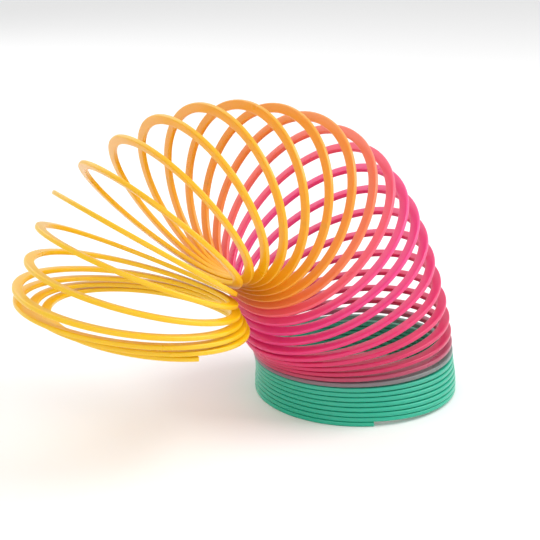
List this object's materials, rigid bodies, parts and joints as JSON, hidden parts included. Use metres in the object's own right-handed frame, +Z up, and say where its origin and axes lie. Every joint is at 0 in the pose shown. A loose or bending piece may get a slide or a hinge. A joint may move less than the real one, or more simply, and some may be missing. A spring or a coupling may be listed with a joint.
{
  "type": "spring coil toy",
  "caption": "Flat-wire plastic coil that stands on its closed lower turns and bends over in an arch of open turns.",
  "frame": {"origin": "on the surface that the coil stands on, under the middle of the arch's box", "axes": "+Z up, +X from the far end of the arch to the standing stack, Y across the arch, parallel to every bend axis"},
  "size_m": [0.1658, 0.0882, 0.1121],
  "materials": {
    "green_plastic": "gloss",
    "pink_plastic": "gloss",
    "orange_plastic": "gloss",
    "yellow_plastic": "gloss"
  },
  "bodies": {
    "green_turn_01": {"green_turn_01": "green_plastic"},
    "green_turn_02": {"green_turn_02": "green_plastic"},
    "green_turn_03": {"green_turn_03": "green_plastic"},
    "green_turn_04": {"green_turn_04": "green_plastic"},
    "green_turn_05": {"green_turn_05": "green_plastic"},
    "green_turn_06": {"green_turn_06": "green_plastic"},
    "green_turn_07": {"green_turn_07": "green_plastic"},
    "green_turn_08": {"green_turn_08": "green_plastic"},
    "pink_turn_01": {"pink_turn_01": "pink_plastic"},
    "pink_turn_02": {"pink_turn_02": "pink_plastic"},
    "pink_turn_03": {"pink_turn_03": "pink_plastic"},
    "pink_turn_04": {"pink_turn_04": "pink_plastic"},
    "pink_turn_05": {"pink_turn_05": "pink_plastic"},
    "pink_turn_06": {"pink_turn_06": "pink_plastic"},
    "pink_turn_07": {"pink_turn_07": "pink_plastic"},
    "pink_turn_08": {"pink_turn_08": "pink_plastic"},
    "pink_turn_09": {"pink_turn_09": "pink_plastic"},
    "pink_turn_10": {"pink_turn_10": "pink_plastic"},
    "orange_turn_01": {"orange_turn_01": "orange_plastic"},
    "orange_turn_02": {"orange_turn_02": "orange_plastic"},
    "orange_turn_03": {"orange_turn_03": "orange_plastic"},
    "orange_turn_04": {"orange_turn_04": "orange_plastic"},
    "orange_turn_05": {"orange_turn_05": "orange_plastic"},
    "orange_turn_06": {"orange_turn_06": "orange_plastic"},
    "orange_turn_07": {"orange_turn_07": "orange_plastic"},
    "orange_turn_08": {"orange_turn_08": "orange_plastic"},
    "orange_turn_09": {"orange_turn_09": "orange_plastic"},
    "yellow_turn_01": {"yellow_turn_01": "yellow_plastic"},
    "yellow_turn_02": {"yellow_turn_02": "yellow_plastic"},
    "yellow_turn_03": {"yellow_turn_03": "yellow_plastic"},
    "yellow_turn_04": {"yellow_turn_04": "yellow_plastic"},
    "yellow_turn_05": {"yellow_turn_05": "yellow_plastic"},
    "yellow_turn_06": {"yellow_turn_06": "yellow_plastic"}
  },
  "joints": [
    {"name": "green_turn_02_bend", "type": "hinge", "parent": "green_turn_01", "child": "green_turn_02", "pos_m": [0.00956, -0.00661, 0.00258], "axis": [0, -1, 0], "range_deg": [0, 1.5]},
    {"name": "green_turn_03_bend", "type": "hinge", "parent": "green_turn_02", "child": "green_turn_03", "pos_m": [0.00956, -0.00661, 0.0044], "axis": [0, -1, 0], "range_deg": [0, 1.5]},
    {"name": "green_turn_04_bend", "type": "hinge", "parent": "green_turn_03", "child": "green_turn_04", "pos_m": [0.00952, -0.00661, 0.00622], "axis": [0, -1, 0], "range_deg": [0, 1.5]},
    {"name": "green_turn_05_bend", "type": "hinge", "parent": "green_turn_04", "child": "green_turn_05", "pos_m": [0.0094, -0.00661, 0.00805], "axis": [0, -1, 0], "range_deg": [0, 1.5]},
    {"name": "green_turn_06_bend", "type": "hinge", "parent": "green_turn_05", "child": "green_turn_06", "pos_m": [0.00918, -0.00661, 0.00989], "axis": [0, -1, 0], "range_deg": [0, 1.5]},
    {"name": "green_turn_07_bend", "type": "hinge", "parent": "green_turn_06", "child": "green_turn_07", "pos_m": [0.00888, -0.00661, 0.01174], "axis": [0, -1, 0], "range_deg": [0, 1.5]},
    {"name": "green_turn_08_bend", "type": "hinge", "parent": "green_turn_07", "child": "green_turn_08", "pos_m": [0.0085, -0.00661, 0.01359], "axis": [0, -1, 0], "range_deg": [0, 1.5]},
    {"name": "pink_turn_01_bend", "type": "hinge", "parent": "green_turn_08", "child": "pink_turn_01", "pos_m": [0.008, -0.00661, 0.01545], "axis": [0, -1, 0], "range_deg": [-1.24, 0.13]},
    {"name": "pink_turn_02_bend", "type": "hinge", "parent": "pink_turn_01", "child": "pink_turn_02", "pos_m": [0.00738, -0.00661, 0.01731], "axis": [0, -1, 0], "range_deg": [-1.97, 0.21]},
    {"name": "pink_turn_03_bend", "type": "hinge", "parent": "pink_turn_02", "child": "pink_turn_03", "pos_m": [0.00655, -0.00661, 0.0191], "axis": [0, -1, 0], "range_deg": [-3.12, 0.34]},
    {"name": "pink_turn_04_bend", "type": "hinge", "parent": "pink_turn_03", "child": "pink_turn_04", "pos_m": [0.00542, -0.00661, 0.02082], "axis": [0, -1, 0], "range_deg": [-4.37, 0.47]},
    {"name": "pink_turn_05_bend", "type": "hinge", "parent": "pink_turn_04", "child": "pink_turn_05", "pos_m": [0.00396, -0.00661, 0.02241], "axis": [0, -1, 0], "range_deg": [-5.38, 0.58]},
    {"name": "pink_turn_06_bend", "type": "hinge", "parent": "pink_turn_05", "child": "pink_turn_06", "pos_m": [0.0027, -0.00635, 0.02408], "axis": [0, -1, 0], "range_deg": [-5.39, 0.58]},
    {"name": "pink_turn_07_bend", "type": "hinge", "parent": "pink_turn_06", "child": "pink_turn_07", "pos_m": [0.00218, -0.00556, 0.02624], "axis": [0, -1, 0], "range_deg": [-5.14, 0.55]},
    {"name": "pink_turn_08_bend", "type": "hinge", "parent": "pink_turn_07", "child": "pink_turn_08", "pos_m": [0.00229, -0.00423, 0.02904], "axis": [0, -1, 0], "range_deg": [-5.06, 0.54]},
    {"name": "pink_turn_09_bend", "type": "hinge", "parent": "pink_turn_08", "child": "pink_turn_09", "pos_m": [0.00257, -0.00273, 0.03217], "axis": [0, -1, 0], "range_deg": [-5.66, 0.61]},
    {"name": "pink_turn_10_bend", "type": "hinge", "parent": "pink_turn_09", "child": "pink_turn_10", "pos_m": [0.00259, -0.00142, 0.03523], "axis": [0, -1, 0], "range_deg": [-6.44, 0.69]},
    {"name": "orange_turn_01_bend", "type": "hinge", "parent": "pink_turn_10", "child": "orange_turn_01", "pos_m": [0.00234, -0.00032, 0.03819], "axis": [0, -1, 0], "range_deg": [-7.31, 0.78]},
    {"name": "orange_turn_02_bend", "type": "hinge", "parent": "orange_turn_01", "child": "orange_turn_02", "pos_m": [0.00175, 0.00056, 0.04104], "axis": [0, -1, 0], "range_deg": [-8.5, 0.9]},
    {"name": "orange_turn_03_bend", "type": "hinge", "parent": "orange_turn_02", "child": "orange_turn_03", "pos_m": [0.00076, 0.00122, 0.04375], "axis": [0, -1, 0], "range_deg": [-9.79, 1.04]},
    {"name": "orange_turn_04_bend", "type": "hinge", "parent": "orange_turn_03", "child": "orange_turn_04", "pos_m": [-0.00065, 0.00164, 0.04621], "axis": [0, -1, 0], "range_deg": [-10.87, 1.15]},
    {"name": "orange_turn_05_bend", "type": "hinge", "parent": "orange_turn_04", "child": "orange_turn_05", "pos_m": [-0.00252, 0.002, 0.04835], "axis": [0, -1, 0], "range_deg": [-11.14, 1.18]},
    {"name": "orange_turn_06_bend", "type": "hinge", "parent": "orange_turn_05", "child": "orange_turn_06", "pos_m": [-0.00478, 0.00248, 0.05005], "axis": [0, -1, 0], "range_deg": [-11.19, 1.19]},
    {"name": "orange_turn_07_bend", "type": "hinge", "parent": "orange_turn_06", "child": "orange_turn_07", "pos_m": [-0.00734, 0.0031, 0.05125], "axis": [0, -1, 0], "range_deg": [-11.23, 1.19]},
    {"name": "orange_turn_08_bend", "type": "hinge", "parent": "orange_turn_07", "child": "orange_turn_08", "pos_m": [-0.0101, 0.00383, 0.0519], "axis": [0, -1, 0], "range_deg": [-11.14, 1.18]},
    {"name": "orange_turn_09_bend", "type": "hinge", "parent": "orange_turn_08", "child": "orange_turn_09", "pos_m": [-0.01247, 0.00434, 0.05151], "axis": [0, -1, 0], "range_deg": [-10.48, 1.11]},
    {"name": "yellow_turn_01_bend", "type": "hinge", "parent": "orange_turn_09", "child": "yellow_turn_01", "pos_m": [-0.01363, 0.00425, 0.0499], "axis": [0, -1, 0], "range_deg": [-5.14, 1.03]},
    {"name": "yellow_turn_02_bend", "type": "hinge", "parent": "yellow_turn_01", "child": "yellow_turn_02", "pos_m": [-0.01328, 0.00356, 0.04754], "axis": [0, -1, 0], "range_deg": [-4.47, 0.9]},
    {"name": "yellow_turn_03_bend", "type": "hinge", "parent": "yellow_turn_02", "child": "yellow_turn_03", "pos_m": [-0.01191, 0.00292, 0.04509], "axis": [0, -1, 0], "range_deg": [-2.83, 0.57]},
    {"name": "yellow_turn_04_bend", "type": "hinge", "parent": "yellow_turn_03", "child": "yellow_turn_04", "pos_m": [-0.01029, 0.00303, 0.04284], "axis": [0, -1, 0], "range_deg": [-1.19, 0.24]},
    {"name": "yellow_turn_05_bend", "type": "hinge", "parent": "yellow_turn_04", "child": "yellow_turn_05", "pos_m": [-0.00888, 0.00345, 0.04078], "axis": [0, -1, 0], "range_deg": [-0.608, 0.123]},
    {"name": "yellow_turn_06_bend", "type": "hinge", "parent": "yellow_turn_05", "child": "yellow_turn_06", "pos_m": [-0.00809, 0.00371, 0.03886], "axis": [0, -1, 0], "range_deg": [-0.356, 0.072]}
  ],
  "couplings": [
    {"joint": "green_turn_03_bend", "follows": "green_turn_02_bend", "ratio": 1},
    {"joint": "green_turn_04_bend", "follows": "green_turn_02_bend", "ratio": 1},
    {"joint": "green_turn_05_bend", "follows": "green_turn_02_bend", "ratio": 1},
    {"joint": "green_turn_06_bend", "follows": "green_turn_02_bend", "ratio": 1},
    {"joint": "green_turn_07_bend", "follows": "green_turn_02_bend", "ratio": 1},
    {"joint": "green_turn_08_bend", "follows": "green_turn_02_bend", "ratio": 1},
    {"joint": "pink_turn_01_bend", "follows": "pink_turn_10_bend", "ratio": 0.193},
    {"joint": "pink_turn_02_bend", "follows": "pink_turn_10_bend", "ratio": 0.306},
    {"joint": "pink_turn_03_bend", "follows": "pink_turn_10_bend", "ratio": 0.484},
    {"joint": "pink_turn_04_bend", "follows": "pink_turn_10_bend", "ratio": 0.678},
    {"joint": "pink_turn_05_bend", "follows": "pink_turn_10_bend", "ratio": 0.835},
    {"joint": "pink_turn_06_bend", "follows": "pink_turn_10_bend", "ratio": 0.837},
    {"joint": "pink_turn_07_bend", "follows": "pink_turn_10_bend", "ratio": 0.798},
    {"joint": "pink_turn_08_bend", "follows": "pink_turn_10_bend", "ratio": 0.785},
    {"joint": "pink_turn_09_bend", "follows": "pink_turn_10_bend", "ratio": 0.878},
    {"joint": "orange_turn_01_bend", "follows": "orange_turn_07_bend", "ratio": 0.651},
    {"joint": "orange_turn_02_bend", "follows": "orange_turn_07_bend", "ratio": 0.757},
    {"joint": "orange_turn_03_bend", "follows": "orange_turn_07_bend", "ratio": 0.872},
    {"joint": "orange_turn_04_bend", "follows": "orange_turn_07_bend", "ratio": 0.968},
    {"joint": "orange_turn_05_bend", "follows": "orange_turn_07_bend", "ratio": 0.992},
    {"joint": "orange_turn_06_bend", "follows": "orange_turn_07_bend", "ratio": 0.996},
    {"joint": "orange_turn_08_bend", "follows": "orange_turn_07_bend", "ratio": 0.992},
    {"joint": "orange_turn_09_bend", "follows": "orange_turn_07_bend", "ratio": 0.933},
    {"joint": "yellow_turn_02_bend", "follows": "yellow_turn_01_bend", "ratio": 0.869},
    {"joint": "yellow_turn_03_bend", "follows": "yellow_turn_01_bend", "ratio": 0.55},
    {"joint": "yellow_turn_04_bend", "follows": "yellow_turn_01_bend", "ratio": 0.231},
    {"joint": "yellow_turn_05_bend", "follows": "yellow_turn_01_bend", "ratio": 0.118},
    {"joint": "yellow_turn_06_bend", "follows": "yellow_turn_01_bend", "ratio": 0.069}
  ]
}
